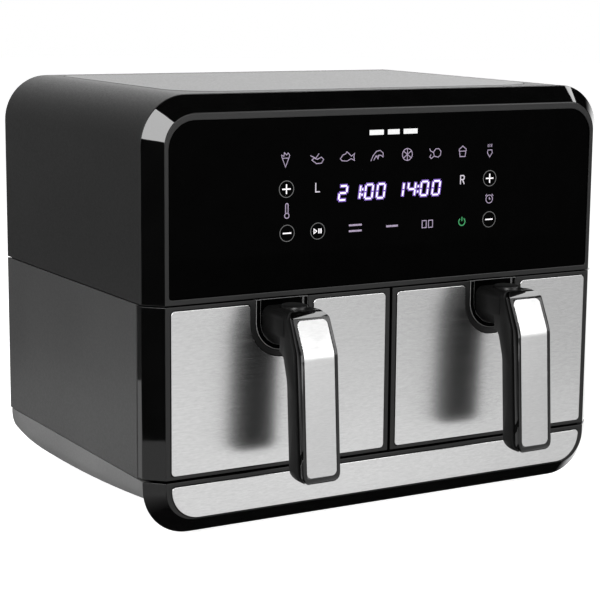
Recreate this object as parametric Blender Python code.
"""Countertop air fryer with two drawers side by side.

Metres, +Z up. The origin lies on the table, under the middle of the whole outline.
The front faces -Y. FRONT is the plane of the control panel and the drawer fronts, and
depths are counted from it towards the back.
"""

from math import atan2, ceil, cos, pi, sin, sqrt, tan, tau

import bmesh
import bpy
from mathutils import Matrix, Vector

# Driving dimensions of the casing
BODY_WIDTH = 0.390
BODY_DEPTH = 0.2665
BODY_BASE = 0.006
BODY_TOP = 0.314
CORNER = 0.035
CHAMFER = 0.0124
WALL = 0.0024
FIT = 0.0003
SEAM_Z = 0.1712
BASE_Z = 0.0468
HANDLE_REACH = 0.0577
VENT_DEPTH = 0.016
FRONT = (HANDLE_REACH - BODY_DEPTH - VENT_DEPTH) / 2

# Casing panels
HALF = BODY_WIDTH / 2
HOUSING_START = CHAMFER + FIT
COVER_HALF = 0.1539
COVER_START, COVER_END = 0.0284, 0.2516
COVER_RISE = 0.0030
REAR_INSET = 0.001
SIDE_START = 0.0213
PANEL_HALF, PANEL_LOW, PANEL_HIGH = 0.1795, 0.1752, 0.2968
PANEL_RADIUS = 0.0198
TRIM_HALF, TRIM_LOW, TRIM_HIGH = 0.1782, 0.0196, 0.0433
FRAME_START, FRAME_END = 0.0215, 0.0240
TRAY_FLOOR_Z, TRAY_FLOOR_HALF = 0.0100, 0.1300
TRAY_FLOOR_START, TRAY_FLOOR_END = 0.0200, 0.2200
FOOT_NEAR, FOOT_FAR = 0.1270, 0.1545
FEET = (("front", (0.028, 0.060)), ("rear", (0.220, 0.254)))

# Drawer fronts
DOOR_LOW, DOOR_HIGH = 0.0484, 0.1704
DOOR_NEAR = 0.0010
DOOR_DEPTH = 0.0195
DOOR_WALL = 0.0040
PLATE_NEAR, PLATE_FAR = 0.0051, 0.1785
PLATE_LOW, PLATE_HIGH = 0.0512, 0.1673
PLATE_THICK = 0.0011
PLATE_RECESS = 0.0010
NOTCH_HALF, NOTCH_LOW = 0.0257, 0.1283
MOUNT_HALF, MOUNT_LOW = 0.0210, 0.1333

# Handles
HANDLE_X = 0.0915
NECK_HALF, NECK_LOW, NECK_HIGH = 0.0162, 0.1375, 0.1660
NECK_ROUND = 0.0060
GRIP_HALF = 0.0155
BEZEL_HALF = 0.0145
INLAY_HALF = 0.0120
BUTTON_DEPTH = -0.0175
BUTTON_HALF_X, BUTTON_HALF_Y = 0.0090, 0.0110
BUTTON_TOP = 0.1683
CHANNEL_HALF, CHANNEL_LOW, CHANNEL_HIGH = 0.0105, 0.1430, 0.1630
LATCH_HALF, LATCH_LOW, LATCH_HIGH = 0.0040, 0.1480, 0.1520

# Baskets and cooking chambers
ZONE_X = 0.0930
BASKET_HALF, BASKET_START, BASKET_END = 0.0790, 0.0202, 0.2260
BASKET_LOW, BASKET_HIGH = 0.0560, 0.1600
BASKET_WALL = 0.0015
FLANGE = 0.0050
CHAMBER_NEAR, CHAMBER_FAR = 0.0055, 0.1820
CHAMBER_START, CHAMBER_END = 0.0246, 0.2420
CHAMBER_LOW, CHAMBER_HIGH = 0.0505, 0.2320
CHAMBER_WALL = 0.0012
MOUTH_NEAR, MOUTH_FAR, MOUTH_LOW, MOUTH_HIGH = 0.0075, 0.1790, 0.0520, 0.1685
CRISPER_HALF, CRISPER_START, CRISPER_END = 0.0750, 0.0265, 0.2190
CRISPER_LOW, CRISPER_THICK = 0.0700, 0.0025

# Heaters, fans and motors
FAN_DEPTH = 0.1330
GUARD_Z, GUARD_RADIUS = 0.1760, 0.0740
COIL_Z, COIL_RADIUS, COIL_TUBE = 0.1880, 0.0660, 0.0032
HOT_FAN_Z, HOT_FAN_RADIUS = 0.2000, 0.0500
SHAFT_RADIUS = 0.0030
MOTOR_LOW, MOTOR_HIGH, MOTOR_RADIUS = 0.2330, 0.2740, 0.0310
COOL_FAN_Z, COOL_FAN_RADIUS = 0.2790, 0.0380
SHAFT_LOW, SHAFT_HIGH = 0.1980, 0.2960
SHAFT_CLEAR = 0.0003

# Exhaust and mains inlet
VENT_HALF, VENT_LOW, VENT_HIGH = 0.0600, 0.1760, 0.2360
INLET_X, INLET_Z, INLET_RADIUS = 0.1300, 0.0400, 0.0090

LEFT, RIGHT = -1, 1
SIDES = (("left", LEFT), ("right", RIGHT))

for old in list(bpy.data.objects):
    bpy.data.objects.remove(old, do_unlink=True)

parts = bpy.data.collections.new("air_fryer")
tools = bpy.data.collections.new("cutters")
bpy.context.scene.collection.children.link(parts)
bpy.context.scene.collection.children.link(tools)


# ---------------------------------------------------------------- materials
def material(name, color, roughness, metallic=0.0):
    look = bpy.data.materials.new(name)
    look.use_nodes = True
    shader = look.node_tree.nodes["Principled BSDF"]
    shader.inputs["Base Color"].default_value = (*color, 1.0)
    shader.inputs["Roughness"].default_value = roughness
    shader.inputs["Metallic"].default_value = metallic
    look.diffuse_color = (*color, 1.0)
    return look


LOOKS = {
    "casing": ((0.035, 0.035, 0.037), 0.50, 0.0),
    "cover": ((0.060, 0.060, 0.062), 0.45, 0.0),
    "gloss": ((0.006, 0.006, 0.007), 0.08, 0.0),
    "glass": ((0.004, 0.004, 0.005), 0.05, 0.0),
    "steel": ((0.62, 0.62, 0.61), 0.32, 1.0),
    "nonstick": ((0.030, 0.030, 0.032), 0.40, 0.3),
    "sheet": ((0.42, 0.42, 0.42), 0.38, 1.0),
    "heater": ((0.20, 0.19, 0.18), 0.45, 1.0),
    "board": ((0.02, 0.16, 0.07), 0.55, 0.0),
    "rubber": ((0.012, 0.012, 0.012), 0.85, 0.0),
}


# ---------------------------------------------------------------- outlines
def outline(corners):
    """A closed outline from corners (x, y, radius), with each corner rounded by its own arc."""
    points = []
    for index, (x, y, radius) in enumerate(corners):
        here = Vector((x, y))
        if radius == 0:
            points.append((x, y))
            continue
        before = Vector(corners[index - 1][:2])
        after = Vector(corners[(index + 1) % len(corners)][:2])
        points += rounded_corner(here, before, after, radius)
    kept = [p for i, p in enumerate(points) if (Vector(p) - Vector(points[i - 1])).length > 1e-5]
    return kept


def rounded_corner(here, before, after, radius):
    """Points along the arc that rounds the corner at here, in order."""
    to_before = (before - here).normalized()
    to_after = (after - here).normalized()
    half_angle = to_before.angle(to_after) / 2
    centre = here + (to_before + to_after).normalized() * (radius / sin(half_angle))
    start = here + to_before * (radius / tan(half_angle)) - centre
    turn = start.angle_signed(here + to_after * (radius / tan(half_angle)) - centre)
    steps = max(1, ceil(abs(turn) / (pi / 9)))
    base = atan2(start.y, start.x)
    return [
        (centre.x + radius * cos(base - turn * i / steps), centre.y + radius * sin(base - turn * i / steps))
        for i in range(steps + 1)
    ]


def open_path(corners):
    """An open path whose inner corners are rounded."""
    points = [corners[0][:2]]
    for before, here, after in zip(corners, corners[1:], corners[2:]):
        points += rounded_corner(Vector(here[:2]), Vector(before[:2]), Vector(after[:2]), here[2])
    return points + [corners[-1][:2]]


def offset_path(points, distance):
    """The path moved sideways, to the left of its direction for a positive distance."""
    moved = []
    for index, point in enumerate(points):
        before = Vector(points[max(index - 1, 0)])
        after = Vector(points[min(index + 1, len(points) - 1)])
        along = (after - before).normalized()
        moved.append((point[0] - along.y * distance, point[1] + along.x * distance))
    return moved


def band(points, near, far):
    """The outline of the strip between two offsets of a path."""
    return offset_path(points, near) + list(reversed(offset_path(points, far)))


def rounded_box(left, right, low, high, radius):
    return outline([(left, low, radius), (right, low, radius), (right, high, radius), (left, high, radius)])


def arch(half, low, high, radius):
    """A box outline with both upper corners rounded."""
    return outline([(-half, low, 0), (half, low, 0), (half, high, radius), (-half, high, radius)])


def tub(half, low, high, radius):
    """A box outline with both lower corners rounded."""
    return outline([(-half, low, radius), (half, low, radius), (half, high, 0), (-half, high, 0)])


def notch(centre, half, low, high):
    """A U-shaped outline, round at the bottom."""
    return outline(
        [(centre - half, low, half), (centre + half, low, half), (centre + half, high, 0), (centre - half, high, 0)]
    )


def circle(x, y, radius, steps=20):
    return [(x + radius * cos(tau * i / steps), y + radius * sin(tau * i / steps)) for i in range(steps)]


def oval(x, y, half_x, half_y, steps=20):
    return [(x + half_x * cos(tau * i / steps), y + half_y * sin(tau * i / steps)) for i in range(steps)]


# ---------------------------------------------------------------- solids
# Outlines lie in XZ for a prism along Y, in XY along Z and in YZ along X.
TURNS = {
    "X": Matrix(((0, 0, 1), (1, 0, 0), (0, 1, 0))),
    "Y": Matrix(((1, 0, 0), (0, 0, -1), (0, 1, 0))),
    "Z": Matrix.Identity(3),
}
AXIS = {"X": 0, "Y": 1, "Z": 2}


def link(name, mesh, look):
    """A part when it has a look, a cutter when it has none."""
    item = bpy.data.objects.new(name, mesh)
    if look is None:
        tools.objects.link(item)
        item.display_type = "WIRE"
        item.hide_render = True
    else:
        parts.objects.link(item)
        item.data.materials.clear()
        item.data.materials.append(material(f"{name}_{look}", *LOOKS[look]))
    return item


def close_mesh(mesh):
    shape = bmesh.new()
    shape.from_mesh(mesh)
    bmesh.ops.remove_doubles(shape, verts=shape.verts, dist=1e-6)
    bmesh.ops.recalc_face_normals(shape, faces=shape.faces)
    shape.to_mesh(mesh)
    shape.free()


def mesh_of_curve(curve_object):
    """The evaluated curve as a mesh, with its caps welded, and the curve removed."""
    bpy.context.scene.collection.objects.link(curve_object)
    graph = bpy.context.evaluated_depsgraph_get()
    mesh = bpy.data.meshes.new_from_object(curve_object.evaluated_get(graph))
    mesh.transform(curve_object.matrix_world)
    close_mesh(mesh)
    bpy.data.objects.remove(curve_object, do_unlink=True)
    return mesh


def prism(name, loops, start, end, along, look=None):
    """A flat outline, with any holes, given a thickness from start to end."""
    curve = bpy.data.curves.new(name, "CURVE")
    curve.dimensions = "2D"
    curve.fill_mode = "BOTH"
    curve.extrude = (end - start) / 2
    for loop in loops:
        spline = curve.splines.new("POLY")
        spline.points.add(len(loop) - 1)
        for point, (x, y) in zip(spline.points, loop):
            point.co = (x, y, 0, 1)
        spline.use_cyclic_u = True
    mesh = mesh_of_curve(bpy.data.objects.new(name, curve))
    mesh.transform(TURNS[along].to_4x4())
    item = link(name, mesh, look)
    item.location[AXIS[along]] = (start + end) / 2
    return item


def front_prism(name, loops, start, end, look=None):
    """A prism along Y whose start and end are depths behind the front plane."""
    return prism(name, loops, FRONT + start, FRONT + end, "Y", look)


def side_prism(name, loop, centre, half, look=None):
    """A prism along X from an outline of (depth, height) points."""
    placed = [(FRONT + depth, height) for depth, height in loop]
    return prism(name, [placed], centre - half, centre + half, "X", look)


def flat_prism(name, loops, low, high, look=None):
    """A prism along Z from outlines of (x, depth) points."""
    placed = [[(x, FRONT + depth) for x, depth in loop] for loop in loops]
    return prism(name, placed, low, high, "Z", look)


def box(name, low, high, look=None):
    """A box between two corners given as (x, depth, z)."""
    mesh = bpy.data.meshes.new(name)
    shape = bmesh.new()
    bmesh.ops.create_cube(shape, size=1.0)
    size = [abs(b - a) for a, b in zip(low, high)]
    bmesh.ops.scale(shape, vec=size, verts=shape.verts)
    shape.to_mesh(mesh)
    shape.free()
    item = link(name, mesh, look)
    x, depth, z = ((a + b) / 2 for a, b in zip(low, high))
    item.location = (x, FRONT + depth, z)
    return item


def cylinder(name, x, depth, low, high, radius, look=None, steps=24):
    """An upright cylinder."""
    mesh = bpy.data.meshes.new(name)
    shape = bmesh.new()
    bmesh.ops.create_cone(
        shape, cap_ends=True, segments=steps, radius1=radius, radius2=radius, depth=high - low
    )
    shape.to_mesh(mesh)
    shape.free()
    mesh.shade_smooth()
    mesh.set_sharp_from_angle(angle=pi / 5)
    item = link(name, mesh, look)
    item.location = (x, FRONT + depth, (low + high) / 2)
    return item


def wire(name, points, radius, look, cyclic=False):
    """A round wire along the points, given in world coordinates."""
    curve = bpy.data.curves.new(name, "CURVE")
    curve.dimensions = "3D"
    curve.bevel_depth = radius
    curve.bevel_resolution = 2
    curve.use_fill_caps = not cyclic
    spline = curve.splines.new("POLY")
    spline.points.add(len(points) - 1)
    for point, place in zip(spline.points, points):
        point.co = (*place, 1)
    spline.use_cyclic_u = cyclic
    return link(name, mesh_of_curve(bpy.data.objects.new(name, curve)), look)


def boolean(target, tool, operation):
    modifier = target.modifiers.new(tool.name, "BOOLEAN")
    modifier.operation = operation
    modifier.solver = "EXACT"
    modifier.object = tool


def cut(target, *cutters):
    for tool in cutters:
        boolean(target, tool, "DIFFERENCE")


def join(target, *additions):
    for tool in additions:
        boolean(target, tool, "UNION")


def guide(name, x, depth, z, parent=None):
    """An empty on a joint's axis."""
    empty = bpy.data.objects.new(name, None)
    empty.location = (x, FRONT + depth, z)
    empty.empty_display_size = 0.02
    parts.objects.link(empty)
    if parent is not None:
        empty.parent = parent
        empty.matrix_parent_inverse = Matrix.Translation(-place_of(parent))
    return empty


def place_of(empty):
    """Where an empty stands; its own location is already a world one."""
    return Vector(empty.location)


def carry(empty, *items):
    for item in items:
        item.parent = empty
        item.matrix_parent_inverse = Matrix.Translation(-place_of(empty))


def chamfer_front(item):
    """The wide 45 degree edge round the front of the casing."""
    shape = bmesh.new()
    shape.from_mesh(item.data)
    nearest = min(v.co.y for v in shape.verts)
    edges = [
        e
        for e in shape.edges
        if all(abs(v.co.y - nearest) < 1e-6 for v in e.verts) and len(e.link_faces) == 2
        and any(abs(f.normal.y) < 0.5 for f in e.link_faces)
    ]
    bmesh.ops.bevel(shape, geom=edges, offset=CHAMFER, segments=1, profile=0.5, affect="EDGES")
    shape.to_mesh(item.data)
    shape.free()


# ---------------------------------------------------------------- casing
def casing_front(name, low, high, look):
    """The part of the chamfered front ring between two heights."""
    ring = front_prism(name, [rounded_box(-HALF, HALF, BODY_BASE, BODY_TOP, CORNER)], 0, CHAMFER, look)
    chamfer_front(ring)
    margin = 0.01
    keep = box(f"{name}_keep", (-HALF - margin, -margin, low), (HALF + margin, CHAMFER + margin, high))
    boolean(ring, keep, "INTERSECT")
    return ring


def upper_housing():
    """The arch over the top and the upper sides, open for the top cover."""
    end = BODY_DEPTH
    shell = front_prism(
        "upper_housing", [arch(HALF, SEAM_Z + FIT, BODY_TOP, CORNER)], HOUSING_START, end, "casing"
    )
    hollow = arch(HALF - WALL, SEAM_Z - 0.01, BODY_TOP - WALL, CORNER - WALL)
    cut(shell, front_prism("housing_hollow", [hollow], 0, end + 0.01))
    opening = rounded_box(
        -COVER_HALF - 0.0004, COVER_HALF + 0.0004, COVER_START - 0.0004, COVER_END + 0.0004, 0.0124
    )
    cut(shell, flat_prism("housing_opening", [opening], BODY_TOP - 0.01, BODY_TOP + 0.01))
    return shell


def top_cover():
    """The inset top panel, which rises a little to the back, held by a flange under the housing."""
    lip = 0.006
    plate = rounded_box(-COVER_HALF, COVER_HALF, COVER_START, COVER_END, 0.012)
    flange = rounded_box(
        -COVER_HALF - lip, COVER_HALF + lip, COVER_START - lip, COVER_END + lip, 0.012 + lip
    )
    under = BODY_TOP - WALL - FIT
    front_top = BODY_TOP - 0.0005
    wedge = [
        (COVER_START - lip, under - 0.001),
        (COVER_END + lip, under - 0.001),
        (COVER_END + lip, front_top + COVER_RISE),
        (COVER_START - lip, front_top),
    ]
    cover = side_prism("top_cover", wedge, 0, HALF, "cover")
    boolean(cover, flat_prism("cover_plan", [plate], under - 0.01, BODY_TOP + 0.01), "INTERSECT")
    join(cover, flat_prism("cover_flange", [flange], under - 0.002, under))
    return cover


def side_panel(name, side):
    """The lower side wall, from behind the drawer front to the back."""
    outer, inner = side * HALF, side * (HALF - WALL)
    return box(
        f"{name}_side_panel",
        (min(outer, inner), SIDE_START, BASE_Z + FIT),
        (max(outer, inner), BODY_DEPTH, SEAM_Z),
        "casing",
    )


def tray_edge(depth):
    """How high the lower edge of the tray's side runs: it dips from the front and lifts at the back."""
    low, middle = 0.0285, 0.190
    if depth < middle:
        return low + 0.0105 * ((middle - depth) / middle) ** 2
    return low + 0.0080 * ((depth - middle) / (BODY_DEPTH - middle)) ** 3


def tray_rings(inset, top):
    """Sections of the tray from its rim down to its flat floor, as loops of equal length."""
    start, end = HOUSING_START + inset, BODY_DEPTH - inset
    stations = [0.060, 0.110, 0.160, 0.210, 0.245]

    def section(side_in, back_in, radius):
        half, back = HALF - inset - side_in, end - back_in
        return outline(
            [(-half, start, 0), (half, start, 0)]
            + [(half, depth, 0) for depth in stations]
            + [(half, back, radius), (-half, back, radius)]
            + [(-half, depth, 0) for depth in reversed(stations)]
        )

    rim = [(x, depth, top) for x, depth in section(0, 0, 0.004)]
    edge = [(x, depth, tray_edge(depth) + inset) for x, depth in section(0, 0, 0.004)]
    turn = [(x, depth, tray_edge(depth) + inset - 0.0048) for x, depth in section(0.0060, 0.0050, 0.004)]
    scale_y = (TRAY_FLOOR_END - TRAY_FLOOR_START) / (BODY_DEPTH - HOUSING_START)
    floor = [
        (
            x * TRAY_FLOOR_HALF / HALF,
            TRAY_FLOOR_START + (depth - HOUSING_START) * scale_y,
            TRAY_FLOOR_Z + inset,
        )
        for x, depth in section(0, 0, 0.004)
    ]
    return [rim, edge, turn, floor]


def loft(name, rings, look=None):
    """A closed solid through rings of (x, depth, z) points, capped at both ends."""
    mesh = bpy.data.meshes.new(name)
    shape = bmesh.new()
    loops = [[shape.verts.new((x, FRONT + depth, z)) for x, depth, z in ring] for ring in rings]
    for upper, lower in zip(loops, loops[1:]):
        for i in range(len(upper)):
            shape.faces.new((upper[i - 1], upper[i], lower[i], lower[i - 1]))
    shape.faces.new(loops[0])
    shape.faces.new(reversed(loops[-1]))
    bmesh.ops.triangulate(shape, faces=shape.faces)
    bmesh.ops.recalc_face_normals(shape, faces=shape.faces)
    shape.to_mesh(mesh)
    shape.free()
    return link(name, mesh, look)


def base_tray():
    """The tub under everything, set back below its edge, with a boss over each foot."""
    tray = loft("base_tray", tray_rings(0, BASE_Z), "casing")
    for row, (start, stop) in FEET:
        for name, side in SIDES:
            left, right = sorted((side * FOOT_NEAR, side * FOOT_FAR))
            boss = rounded_box(left, right, start, stop, 0.009)
            join(tray, flat_prism(f"{row}_{name}_boss", [boss], BODY_BASE, 0.0300))
    cut(tray, loft("tray_hollow", tray_rings(WALL, BASE_Z + 0.01)))
    return tray


def front_base():
    """The chamfered front of the base, with a recess for the steel trim."""
    ring = casing_front("front_base", BODY_BASE - 0.01, BASE_Z, "gloss")
    trim = outline(
        [
            (-TRIM_HALF - FIT, TRIM_LOW - FIT, 0.0213),
            (TRIM_HALF + FIT, TRIM_LOW - FIT, 0.0213),
            (TRIM_HALF + FIT, TRIM_HIGH + FIT, 0.0027),
            (-TRIM_HALF - FIT, TRIM_HIGH + FIT, 0.0027),
        ]
    )
    cut(ring, front_prism("trim_recess", [trim], -0.01, PLATE_RECESS))
    pocket = tub(HALF - 0.016, BODY_BASE + 0.016, BASE_Z - 0.003, CORNER - 0.016)
    cut(ring, front_prism("front_base_pocket", [pocket], 0.005, 0.02))
    return ring


def bottom_trim():
    """The brushed steel strip along the bottom of the front."""
    strip = outline(
        [
            (-TRIM_HALF, TRIM_LOW, 0.0210),
            (TRIM_HALF, TRIM_LOW, 0.0210),
            (TRIM_HALF, TRIM_HIGH, 0.0027),
            (-TRIM_HALF, TRIM_HIGH, 0.0027),
        ]
    )
    return front_prism(
        "bottom_trim", [strip], PLATE_RECESS - FIT - PLATE_THICK, PLATE_RECESS - FIT, "steel"
    )


def upper_fascia():
    """The chamfered front of the housing, recessed for the control panel."""
    ring = casing_front("upper_fascia", SEAM_Z, BODY_TOP + 0.01, "gloss")
    recess = arch(PANEL_HALF, PANEL_LOW, PANEL_HIGH, PANEL_RADIUS)
    cut(ring, front_prism("panel_recess", [recess], -0.01, 0.0039))
    pocket = arch(HALF - 0.008, PANEL_LOW + 0.002, BODY_TOP - 0.008, CORNER - 0.008)
    cut(ring, front_prism("fascia_pocket", [pocket], 0.0075, 0.02))
    window = rounded_box(-0.062, 0.062, 0.232, 0.252, 0.001)
    cut(ring, front_prism("display_window", [window], 0, 0.02))
    return ring


def control_panel():
    """The dark glass in front of the display and the touch keys."""
    glass = arch(PANEL_HALF - FIT, PANEL_LOW + FIT, PANEL_HIGH - FIT, PANEL_RADIUS - FIT)
    return front_prism("control_panel", [glass], 0.0007, 0.0036, "glass")


def inner_frame():
    """The upright frame that the chambers, the casing panels and the boards are fixed to."""
    half, low, high = HALF - WALL - 0.0008, BASE_Z + FIT, BODY_TOP - WALL - 0.0098
    windows = [
        outline(
            [
                (side * MOUTH_NEAR, MOUTH_LOW, 0),
                (side * MOUTH_FAR, MOUTH_LOW, 0),
                (side * MOUTH_FAR, MOUTH_HIGH, 0),
                (side * MOUTH_NEAR, MOUTH_HIGH, 0),
            ]
        )
        for _, side in SIDES
    ]
    return front_prism("inner_frame", [arch(half, low, high, 0.024)] + windows, FRAME_START, FRAME_END, "sheet")


def rear_cover():
    """The back panel, open for both exhausts and the mains lead."""
    half, low, high = HALF - WALL - 0.0004, BASE_Z + FIT, BODY_TOP - WALL - 0.0004
    openings = [
        rounded_box(
            side * ZONE_X - VENT_HALF + 0.006, side * ZONE_X + VENT_HALF - 0.006, VENT_LOW + 0.006,
            VENT_HIGH - 0.006, 0.004,
        )
        for _, side in SIDES
    ]
    return front_prism(
        "rear_cover",
        [arch(half, low, high, CORNER - WALL - 0.0004)] + openings,
        BODY_DEPTH - REAR_INSET - 0.003,
        BODY_DEPTH - REAR_INSET,
        "casing",
    )


def exhaust_vent(name, side):
    """A louvred outlet that also keeps the back clear of a wall."""
    centre = side * ZONE_X
    start = BODY_DEPTH - REAR_INSET + FIT
    end = BODY_DEPTH + VENT_DEPTH
    shell = front_prism(
        f"{name}_exhaust_vent",
        [rounded_box(centre - VENT_HALF, centre + VENT_HALF, VENT_LOW, VENT_HIGH, 0.008)],
        start,
        end,
        "casing",
    )
    hollow = rounded_box(
        centre - VENT_HALF + 0.002, centre + VENT_HALF - 0.002, VENT_LOW + 0.002, VENT_HIGH - 0.002, 0.006
    )
    cut(shell, front_prism(f"{name}_vent_hollow", [hollow], start - 0.01, end - 0.002))
    count, pitch = 5, 0.0100
    slots = [
        rounded_box(centre - 0.050, centre + 0.050, z - 0.0025, z + 0.0025, 0.0012)
        for z in (VENT_LOW + 0.010 + pitch * i for i in range(count))
    ]
    for number, slot in enumerate(slots):
        cut(shell, front_prism(f"{name}_vent_slot_{number}", [slot], end - 0.01, end + 0.01))
    return shell


def mains_inlet():
    """The gland that the mains lead would leave by, in the back of the base tray."""
    start, end = BODY_DEPTH + FIT, BODY_DEPTH + 0.008
    ring = [circle(INLET_X, INLET_Z - 0.012, INLET_RADIUS), circle(INLET_X, INLET_Z - 0.012, 0.0034, 12)]
    return front_prism("mains_inlet", ring, start, end, "rubber")


def feet():
    """Rubber pads under the tray's four bosses."""
    for row, (start, stop) in FEET:
        for name, side in SIDES:
            left, right = sorted((side * (FOOT_NEAR + 0.001), side * (FOOT_FAR - 0.001)))
            pad = rounded_box(left, right, start + 0.001, stop - 0.001, 0.008)
            flat_prism(f"{row}_{name}_foot", [pad], 0, BODY_BASE - FIT, "rubber")


# ---------------------------------------------------------------- electronics
def electronics():
    """The display, the touch board behind it and the power board over the chambers."""
    box("display_module", (-0.060, 0.0042, 0.234), (0.060, 0.0110, 0.250), "gloss")
    box("control_board", (-0.110, 0.0142, 0.200), (0.110, 0.0158, 0.270), "board")
    board = box("power_board", (-0.042, 0.060, 0.262), (0.042, 0.165, 0.2636), "board")
    join(
        board,
        box("transformer", (-0.030, 0.070, 0.2630), (0.000, 0.100, 0.290)),
        box("relay_near", (0.012, 0.070, 0.2630), (0.030, 0.090, 0.280)),
        box("relay_far", (0.012, 0.100, 0.2630), (0.030, 0.120, 0.280)),
        box("heat_sink", (-0.030, 0.125, 0.2630), (-0.010, 0.155, 0.285)),
    )
    for name, side in SIDES:
        near, far = side * 0.1845, side * 0.1905
        box(
            f"{name}_drawer_switch",
            (min(near, far), 0.0246, 0.095),
            (max(near, far), 0.0346, 0.115),
            "gloss",
        )


# ---------------------------------------------------------------- cooking zones
def zone_span(side, near, far):
    """The left and right limits of a span on one side of the middle."""
    return tuple(sorted((side * near, side * far)))


def chamber(name, side):
    """The sheet-metal box round a drawer and its heater, with rails for the basket."""
    left, right = zone_span(side, CHAMBER_NEAR, CHAMBER_FAR)
    centre, wall = side * ZONE_X, CHAMBER_WALL
    shell = box(
        f"{name}_chamber", (left, CHAMBER_START, CHAMBER_LOW), (right, CHAMBER_END, CHAMBER_HIGH), "sheet"
    )
    cut(
        shell,
        box(
            f"{name}_cavity",
            (left + wall, CHAMBER_START + wall, CHAMBER_LOW + wall),
            (right - wall, CHAMBER_END - wall, CHAMBER_HIGH - wall),
        ),
    )
    mouth_left, mouth_right = zone_span(side, MOUTH_NEAR, MOUTH_FAR)
    cut(shell, box(f"{name}_mouth", (mouth_left, 0, MOUTH_LOW), (mouth_right, CHAMBER_START + 0.01, MOUTH_HIGH)))
    cut(shell, cylinder(f"{name}_shaft_hole", centre, FAN_DEPTH, CHAMBER_HIGH - 0.01, CHAMBER_HIGH + 0.01, 0.008))
    outlet = (centre - 0.040, CHAMBER_END - 0.01, 0.182), (centre + 0.040, CHAMBER_END + 0.01, 0.220)
    cut(shell, box(f"{name}_outlet", *outlet))
    rail_low, rail_high = 0.1545, BASKET_HIGH - 0.0020 - 0.0005
    for edge, (start, stop) in (
        ("inner", (left + wall / 2, centre - BASKET_HALF - 0.0015)),
        ("outer", (centre + BASKET_HALF + 0.0015, right - wall / 2)),
    ):
        rail = box(
            f"{name}_{edge}_rail", (start, CHAMBER_START + 0.004, rail_low), (stop, CHAMBER_END - 0.004, rail_high)
        )
        join(shell, rail)
    return shell


def heater_coil(name, side):
    """One closed turn of tubular heater with two waves, hung above the guard."""
    turns, waves = 28, 4
    points = []
    for i in range(turns):
        angle = tau * i / turns
        radius = COIL_RADIUS * (0.86 + 0.14 * cos(waves * angle))
        points.append(
            (side * ZONE_X + radius * cos(angle), FRONT + FAN_DEPTH + radius * sin(angle), COIL_Z)
        )
    return wire(f"{name}_heater_coil", points, COIL_TUBE, "heater", cyclic=True)


def heater_guard(name, side):
    """The slotted plate between the food and the heater."""
    centre = side * ZONE_X
    loops = [circle(centre, FAN_DEPTH, GUARD_RADIUS, 28)]
    for inner, outer, count in ((0.014, 0.036, 6), (0.042, 0.066, 10)):
        gap = 0.16 if count > 6 else 0.28
        for slot in range(count):
            first = tau * slot / count + gap / 2
            last = tau * (slot + 1) / count - gap / 2
            steps = 2
            arc_points = [first + (last - first) * i / steps for i in range(steps + 1)]
            loops.append(
                [(centre + outer * cos(a), FAN_DEPTH + outer * sin(a)) for a in arc_points]
                + [(centre + inner * cos(a), FAN_DEPTH + inner * sin(a)) for a in reversed(arc_points)]
            )
    return flat_prism(f"{name}_heater_guard", loops, GUARD_Z, GUARD_Z + 0.0012, "sheet")


def star(centre, hub, tip, blades, thickness):
    """A hub with straight radial blades, as one outline."""
    points = []
    for blade in range(blades):
        angle = tau * blade / blades
        radial = Vector((cos(angle), sin(angle)))
        across = Vector((-sin(angle), cos(angle))) * (thickness / 2)
        root = sqrt(hub * hub - thickness * thickness / 4)
        for place in (radial * root - across, radial * tip - across, radial * tip + across, radial * root + across):
            points.append((centre + place.x, FAN_DEPTH + place.y))
    return points


def impeller(name, centre, low, radius, height, blades, look):
    """A bladed wheel: a back plate at the top with radial blades and a bored hub below it."""
    top = low + height - 0.0006
    wheel = flat_prism(name, [star(centre, 0.009, radius, blades, 0.0016)], low, top, look)
    join(
        wheel,
        cylinder(f"{name}_plate", centre, FAN_DEPTH, low + height - 0.0015, low + height, radius + 0.0005),
    )
    cut(
        wheel,
        cylinder(f"{name}_bore", centre, FAN_DEPTH, low - 0.01, low + height + 0.01, SHAFT_RADIUS + FIT, None, 16),
    )
    return wheel


def motor(name, side):
    """The fan motor on its mounting plate, bored for the shaft."""
    centre = side * ZONE_X
    can = cylinder(f"{name}_motor", centre, FAN_DEPTH, MOTOR_LOW, MOTOR_HIGH, MOTOR_RADIUS, "sheet")
    join(
        can,
        box(
            f"{name}_motor_plate",
            (centre - 0.045, FAN_DEPTH - 0.018, MOTOR_LOW - 0.0005),
            (centre + 0.045, FAN_DEPTH + 0.018, MOTOR_LOW + 0.0015),
        ),
    )
    bore = cylinder(
        f"{name}_motor_bore", centre, FAN_DEPTH, MOTOR_LOW - 0.01, MOTOR_HIGH + 0.01,
        SHAFT_RADIUS + SHAFT_CLEAR, None, 16,
    )
    cut(can, bore)
    return can


def fan_set(name, side):
    """What turns together: the hot-air fan, the shaft and the cooling fan."""
    centre = side * ZONE_X
    axis = guide(f"{name}_fan_axis", centre, FAN_DEPTH, HOT_FAN_Z)
    hot = impeller(f"{name}_hot_air_fan", centre, HOT_FAN_Z, HOT_FAN_RADIUS, 0.018, 9, "sheet")
    cool = impeller(f"{name}_cooling_fan", centre, COOL_FAN_Z, COOL_FAN_RADIUS, 0.012, 7, "casing")
    shaft = cylinder(
        f"{name}_fan_shaft", centre, FAN_DEPTH, SHAFT_LOW, SHAFT_HIGH, SHAFT_RADIUS, "steel", 16
    )
    carry(axis, hot, cool, shaft)


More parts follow.
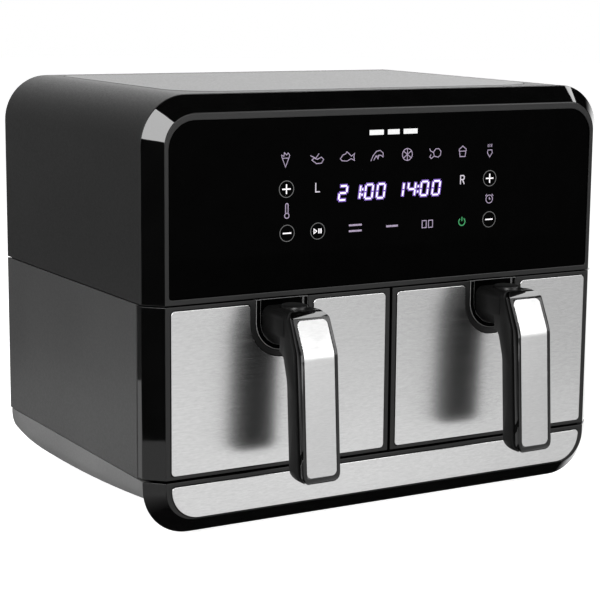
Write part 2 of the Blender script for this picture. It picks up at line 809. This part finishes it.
# ---------------------------------------------------------------- drawers
def drawer_front(name, side):
    """The moulded front of a drawer, which also wraps the outer corner of the casing."""
    plan = [
        (side * DOOR_NEAR, 0),
        (side * (HALF - CHAMFER), 0),
        (side * HALF, CHAMFER),
        (side * HALF, DOOR_DEPTH),
        (side * DOOR_NEAR, DOOR_DEPTH),
    ]
    front = flat_prism(f"{name}_drawer_front", [plan], DOOR_LOW, DOOR_HIGH, "gloss")
    far = HALF - CHAMFER - 0.001
    left, right = zone_span(side, DOOR_NEAR + DOOR_WALL, far)
    pocket = (left, 0.0055, DOOR_LOW + DOOR_WALL), (right, DOOR_DEPTH + 0.01, DOOR_HIGH - DOOR_WALL)
    cut(front, box(f"{name}_front_pocket", *pocket))
    cut(front, front_prism(f"{name}_plate_recess", [plate_outline(side, FIT)], -0.01, PLATE_RECESS))
    centre = side * HANDLE_X
    seat = notch(centre, MOUNT_HALF + FIT, MOUNT_LOW - FIT, DOOR_HIGH + 0.01)
    cut(front, front_prism(f"{name}_mount_seat", [seat], -0.01, 0.0060))
    slot_half = LATCH_HALF + 0.0015
    cut(
        front,
        box(
            f"{name}_latch_slot",
            (centre - slot_half, 0.0100, DOOR_HIGH - 0.01),
            (centre + slot_half, DOOR_DEPTH + 0.01, DOOR_HIGH + 0.01),
        ),
    )
    return front


def plate_outline(side, grow):
    """The steel plate, with its notch round the handle; grow widens it for a recess."""
    centre = side * HANDLE_X
    near, far = PLATE_NEAR - grow, PLATE_FAR + grow
    left, right = zone_span(side, near, far)
    low, high = PLATE_LOW - grow, PLATE_HIGH + grow
    half, notch_low = NOTCH_HALF - grow, NOTCH_LOW + grow
    corner = 0.0027
    return outline(
        [
            (left, low, corner),
            (right, low, corner),
            (right, high, corner),
            (centre + half, high, corner),
            (centre + half, notch_low, half),
            (centre - half, notch_low, half),
            (centre - half, high, corner),
            (left, high, corner),
        ]
    )


def steel_plate(name, side):
    return front_prism(
        f"{name}_steel_plate",
        [plate_outline(side, 0)],
        PLATE_RECESS - FIT - PLATE_THICK,
        PLATE_RECESS - FIT,
        "steel",
    )


def handle_mount(name, side):
    """The U-shaped insert that the handle is fixed to, slotted for the latch."""
    centre = side * HANDLE_X
    plate = notch(centre, MOUNT_HALF, MOUNT_LOW, DOOR_HIGH)
    insert = front_prism(f"{name}_handle_mount", [plate], -0.0002, 0.0052, "gloss")
    slot = rounded_box(
        centre - LATCH_HALF - 0.0015, centre + LATCH_HALF + 0.0015, LATCH_LOW - 0.0040, LATCH_HIGH + 0.0015, 0.001
    )
    cut(insert, front_prism(f"{name}_mount_slot", [slot], -0.01, 0.02))
    return insert


# The grip's side outline, as (depth, height, rounding), and the line that splits its
# soft-touch back from its glossy front.
GRIP_SIDE = [
    (-0.0240, 0.1660, 0),
    (-0.0330, 0.1666, 0.0025),
    (-0.0420, 0.1602, 0.0030),
    (-0.0522, 0.1390, 0.0220),
    (-0.0580, 0.0488, 0.0040),
    (-0.0392, 0.0486, 0.0100),
    (-0.0348, 0.1180, 0.0300),
    (-0.0285, 0.1376, 0.0080),
    (-0.0240, 0.1376, 0),
]
GRIP_SPLIT = [(-0.0300, 0.1720, 0), (-0.0442, 0.1400, 0.0200), (-0.0516, 0.0400, 0)]
INLAY_PATH = [(-0.0427, 0.1587, 0), (-0.0522, 0.1390, 0.0220), (-0.0576, 0.0540, 0)]


def grip(name, side):
    """The soft-touch neck and back of the handle, hollow for the button and the latch."""
    centre = side * HANDLE_X
    back = side_prism(f"{name}_handle_grip", outline(GRIP_SIDE), centre, GRIP_HALF, "casing")
    split = offset_path(open_path(GRIP_SPLIT), FIT / 2)
    cut(back, side_prism(f"{name}_grip_front_half", split + [(-0.09, 0.0400), (-0.09, 0.1720)], centre, 0.03))
    neck = outline(
        [
            (centre - NECK_HALF, NECK_LOW, NECK_HALF),
            (centre + NECK_HALF, NECK_LOW, NECK_HALF),
            (centre + NECK_HALF, NECK_HIGH, NECK_ROUND),
            (centre - NECK_HALF, NECK_HIGH, NECK_ROUND),
        ]
    )
    join(back, front_prism(f"{name}_neck", [neck], -0.0300, -0.0005))
    channel = rounded_box(centre - CHANNEL_HALF, centre + CHANNEL_HALF, CHANNEL_LOW, CHANNEL_HIGH, 0.002)
    cut(back, front_prism(f"{name}_channel", [channel], -0.0292, 0.01))
    hole = oval(centre, BUTTON_DEPTH, BUTTON_HALF_X + 0.0004, BUTTON_HALF_Y + 0.0004)
    cut(back, flat_prism(f"{name}_button_hole", [hole], CHANNEL_HIGH - 0.002, NECK_HIGH + 0.01))
    return back


def handle_bezel(name, side):
    """The glossy front of the grip, recessed for its steel inlay."""
    centre = side * HANDLE_X
    front = side_prism(f"{name}_handle_bezel", outline(GRIP_SIDE), centre, BEZEL_HALF, "gloss")
    split = offset_path(open_path(GRIP_SPLIT), -FIT / 2)
    cut(front, side_prism(f"{name}_grip_back_half", split + [(0.02, 0.0400), (0.02, 0.1720)], centre, 0.03))
    recess = band(open_path(INLAY_PATH), -0.0040, 0.0014)
    cut(front, side_prism(f"{name}_inlay_recess", recess, centre, INLAY_HALF + FIT))
    return front


def handle_inlay(name, side):
    """The steel strip let into the front of the grip."""
    path = [(d, z) for d, z in open_path(INLAY_PATH)]
    first, last = Vector(path[0]), Vector(path[-1])
    path[0] = tuple(first.lerp(Vector(path[1]), 0.04))
    path[-1] = tuple(last.lerp(Vector(path[-2]), 0.008))
    return side_prism(f"{name}_handle_inlay", band(path, 0.0002, 0.0010), side * HANDLE_X, INLAY_HALF, "steel")


def release_button(name, side):
    """The oval button in the top of the neck."""
    centre = side * HANDLE_X
    face = oval(centre, BUTTON_DEPTH, BUTTON_HALF_X, BUTTON_HALF_Y)
    cap = flat_prism(f"{name}_release_button", [face], 0.1570, BUTTON_TOP, "gloss")
    return cap


def latch_bar(name, side):
    """The bar under the button that runs back through the neck and ends in the hook."""
    centre = side * HANDLE_X
    start = BUTTON_DEPTH - 0.0070
    bar = box(
        f"{name}_latch_bar",
        (centre - LATCH_HALF, start, LATCH_LOW),
        (centre + LATCH_HALF, 0.0170, LATCH_HIGH),
        "sheet",
    )
    post = (centre - LATCH_HALF, start, LATCH_HIGH - 0.001), (centre + LATCH_HALF, start + 0.014, 0.1570 - FIT)
    hook = (centre - LATCH_HALF, 0.0125, LATCH_HIGH - 0.001), (centre + LATCH_HALF, 0.0170, 0.1706)
    join(bar, box(f"{name}_latch_post", *post), box(f"{name}_latch_hook", *hook))
    return bar


def button_spring(name, side):
    """The small compression spring between the neck's floor and the latch bar."""
    turns, per_turn, coil, thickness = 3, 7, 0.0032, 0.0004
    low, high = CHANNEL_LOW + FIT + thickness, LATCH_LOW - FIT - thickness
    count = turns * per_turn
    points = [
        (
            side * HANDLE_X + coil * cos(tau * i / per_turn),
            FRONT + BUTTON_DEPTH + coil * sin(tau * i / per_turn),
            low + (high - low) * i / count,
        )
        for i in range(count + 1)
    ]
    return wire(f"{name}_button_spring", points, thickness, "steel")


def basket(name, side):
    """The deep pan that holds the food, with a rim that runs on the chamber's rails."""
    centre, wall = side * ZONE_X, BASKET_WALL
    left, right = centre - BASKET_HALF, centre + BASKET_HALF
    pan = flat_prism(
        f"{name}_basket",
        [rounded_box(left, right, BASKET_START, BASKET_END, 0.020)],
        BASKET_LOW,
        BASKET_HIGH,
        "nonstick",
    )
    rim = rounded_box(left - FLANGE, right + FLANGE, BASKET_START, BASKET_END + FLANGE, 0.022)
    join(pan, flat_prism(f"{name}_basket_rim", [rim], BASKET_HIGH - 0.0020, BASKET_HIGH))
    hollow = rounded_box(left + wall, right - wall, BASKET_START + wall, BASKET_END - wall, 0.0185)
    cut(pan, flat_prism(f"{name}_basket_hollow", [hollow], BASKET_LOW + wall, BASKET_HIGH + 0.01))
    return pan


def crisper_plate(name, side):
    """The slotted plate that lies in the basket on four short feet."""
    centre = side * ZONE_X
    sheet = rounded_box(centre - CRISPER_HALF, centre + CRISPER_HALF, CRISPER_START, CRISPER_END, 0.016)
    plate = flat_prism(f"{name}_crisper_plate", [sheet], CRISPER_LOW, CRISPER_LOW + CRISPER_THICK, "nonstick")
    columns, rows = 4, 6
    pitch_x, pitch_y = 0.0350, 0.0300
    middle = (CRISPER_START + CRISPER_END) / 2
    slots = []
    for column in range(columns):
        for row in range(rows):
            x = centre + pitch_x * (column - (columns - 1) / 2)
            y = middle + pitch_y * (row - (rows - 1) / 2)
            slots.append(
                [(x - 0.012, y - 0.004), (x + 0.012, y - 0.004), (x + 0.012, y + 0.004), (x - 0.012, y + 0.004)]
            )
    cut(plate, flat_prism(f"{name}_crisper_slots", slots, CRISPER_LOW - 0.01, CRISPER_LOW + 0.01))
    foot, low = 0.004, BASKET_LOW + BASKET_WALL + FIT
    for corner, (dx, dy) in enumerate(((-1, -1), (1, -1), (1, 1), (-1, 1))):
        x, y = centre + dx * (CRISPER_HALF - 0.008), middle + dy * 0.075
        join(
            plate,
            box(f"{name}_crisper_foot_{corner}", (x - foot, y - foot, low), (x + foot, y + foot, CRISPER_LOW + 0.001)),
        )
    return plate


def drawer(name, side):
    """One drawer, with its button and its crisper plate on their own slides."""
    slide = guide(f"{name}_drawer_slide", side * HANDLE_X, 0, DOOR_LOW)
    carry(
        slide,
        drawer_front(name, side),
        steel_plate(name, side),
        handle_mount(name, side),
        grip(name, side),
        handle_bezel(name, side),
        handle_inlay(name, side),
        button_spring(name, side),
        basket(name, side),
    )
    press = guide(f"{name}_button_slide", side * HANDLE_X, BUTTON_DEPTH, NECK_HIGH, slide)
    carry(press, release_button(name, side), latch_bar(name, side))
    lift = guide(f"{name}_crisper_lift", side * ZONE_X, FAN_DEPTH, CRISPER_LOW, slide)
    carry(lift, crisper_plate(name, side))


upper_housing()
top_cover()
upper_fascia()
control_panel()
front_base()
bottom_trim()
base_tray()
inner_frame()
rear_cover()
mains_inlet()
feet()
electronics()
for name, side in SIDES:
    side_panel(name, side)
    exhaust_vent(name, side)
    chamber(name, side)
    heater_coil(name, side)
    heater_guard(name, side)
    motor(name, side)
    fan_set(name, side)
    drawer(name, side)
